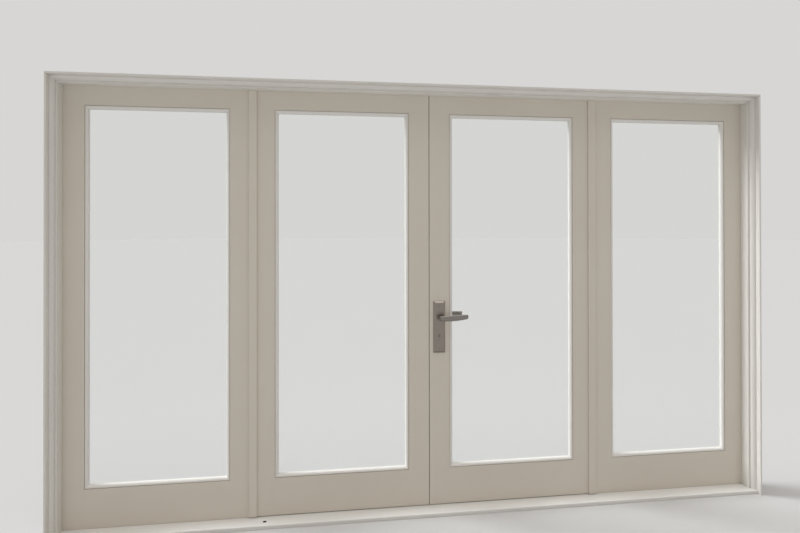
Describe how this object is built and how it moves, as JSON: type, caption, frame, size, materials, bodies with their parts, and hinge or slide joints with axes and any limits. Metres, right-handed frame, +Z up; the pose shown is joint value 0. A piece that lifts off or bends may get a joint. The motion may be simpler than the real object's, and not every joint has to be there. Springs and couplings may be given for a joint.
{
  "type": "french doors",
  "caption": "Pair of hinged glazed doors between fixed glazed sidelights in a white painted timber frame with a sill, stop strips, a lever lock and flush bolts.",
  "frame": {"origin": "on the sill's underside, below the meeting line of the doors, in the plane of the sidelights' room face", "axes": "+X along the wall, to the right as seen from the room; +Y outdoors; +Z up"},
  "size_m": [3.478, 0.209, 2.086],
  "materials": {
    "frame_paint": "white semi-gloss paint",
    "leaf_paint": "white semi-gloss paint",
    "glass": "clear float glass",
    "satin_chrome": "satin plated",
    "steel_hardware": "brushed stainless steel",
    "nickel_cylinder": "nickel plated brass"
  },
  "bodies": {
    "frame": {"head_jamb": "frame_paint", "left_jamb": "frame_paint", "right_jamb": "frame_paint", "sill": "frame_paint", "left_reveal_lining": "frame_paint", "right_reveal_lining": "frame_paint", "head_reveal_lining": "frame_paint", "left_cover_bead": "frame_paint", "right_cover_bead": "frame_paint", "head_cover_bead": "frame_paint", "left_stop_strip": "frame_paint", "right_stop_strip": "frame_paint", "frame_hinge_leaves": "steel_hardware", "hinge_pins": "steel_hardware", "bolt_keeps": "steel_hardware", "left_sidelight_inner_stile": "leaf_paint", "left_sidelight_outer_stile": "leaf_paint", "left_sidelight_bottom_rail": "leaf_paint", "left_sidelight_top_rail": "leaf_paint", "left_sidelight_glass": "glass", "left_sidelight_glazing_beads": "leaf_paint", "right_sidelight_inner_stile": "leaf_paint", "right_sidelight_outer_stile": "leaf_paint", "right_sidelight_bottom_rail": "leaf_paint", "right_sidelight_top_rail": "leaf_paint", "right_sidelight_glass": "glass", "right_sidelight_glazing_beads": "leaf_paint"},
    "left_door": {"left_door_inner_stile": "leaf_paint", "left_door_outer_stile": "leaf_paint", "left_door_bottom_rail": "leaf_paint", "left_door_top_rail": "leaf_paint", "left_door_glass": "glass", "left_door_glazing_beads": "leaf_paint", "left_door_hinge_leaves": "steel_hardware", "strike_plate": "steel_hardware", "top_bolt_plate": "steel_hardware", "bottom_bolt_plate": "steel_hardware"},
    "right_door": {"right_door_inner_stile": "leaf_paint", "right_door_outer_stile": "leaf_paint", "right_door_bottom_rail": "leaf_paint", "right_door_top_rail": "leaf_paint", "right_door_glass": "glass", "right_door_glazing_beads": "leaf_paint", "right_door_hinge_leaves": "steel_hardware", "lock_case": "steel_hardware", "lock_faceplate": "steel_hardware", "key_cylinder": "nickel_cylinder", "inside_handle_plate": "satin_chrome", "outside_handle_plate": "satin_chrome", "handle_plate_screws": "steel_hardware"},
    "lever_set": {"inside_lever": "satin_chrome", "outside_lever": "satin_chrome", "handle_spindle": "steel_hardware", "lock_follower": "steel_hardware"},
    "latch": {"latch_bolt": "steel_hardware"},
    "cylinder_plug": {"cylinder_plug": "nickel_cylinder"},
    "deadbolt": {"deadbolt": "steel_hardware"},
    "top_bolt": {"top_bolt_rod": "steel_hardware"},
    "bottom_bolt": {"bottom_bolt_rod": "steel_hardware"}
  },
  "joints": [
    {"name": "left_door_swing", "type": "hinge", "parent": "frame", "child": "left_door", "pos_m": [-0.855, 0.0474, 1], "axis": [0, 0, 1], "range_deg": [0, 165]},
    {"name": "right_door_swing", "type": "hinge", "parent": "frame", "child": "right_door", "pos_m": [0.855, 0.0474, 1], "axis": [0, 0, -1], "range_deg": [0, 165]},
    {"name": "lever_turn", "type": "hinge", "parent": "right_door", "child": "lever_set", "pos_m": [0.05, 0.0205, 0.9485], "axis": [0, 1, 0], "range_deg": [0, 45], "stiffness_Nm_per_rad": 1.5, "springref_deg": -34.38},
    {"name": "latch_slide", "type": "slide", "parent": "right_door", "child": "latch", "axis": [-1, 0, 0], "range_m": [0, 0.012]},
    {"name": "key_turn", "type": "hinge", "parent": "right_door", "child": "cylinder_plug", "pos_m": [0.05, 0.0205, 0.8565], "axis": [0, 1, 0], "range_deg": [0, 360]},
    {"name": "deadbolt_slide", "type": "slide", "parent": "right_door", "child": "deadbolt", "axis": [-1, 0, 0], "range_m": [0, 0.018]},
    {"name": "top_bolt_slide", "type": "slide", "parent": "left_door", "child": "top_bolt", "axis": [0, 0, 1], "range_m": [0, 0.016]},
    {"name": "bottom_bolt_slide", "type": "slide", "parent": "left_door", "child": "bottom_bolt", "axis": [0, 0, -1], "range_m": [0, 0.016]}
  ],
  "couplings": [
    {"joint": "key_turn", "follows": "deadbolt_slide", "rad_per_m": 349.07}
  ]
}
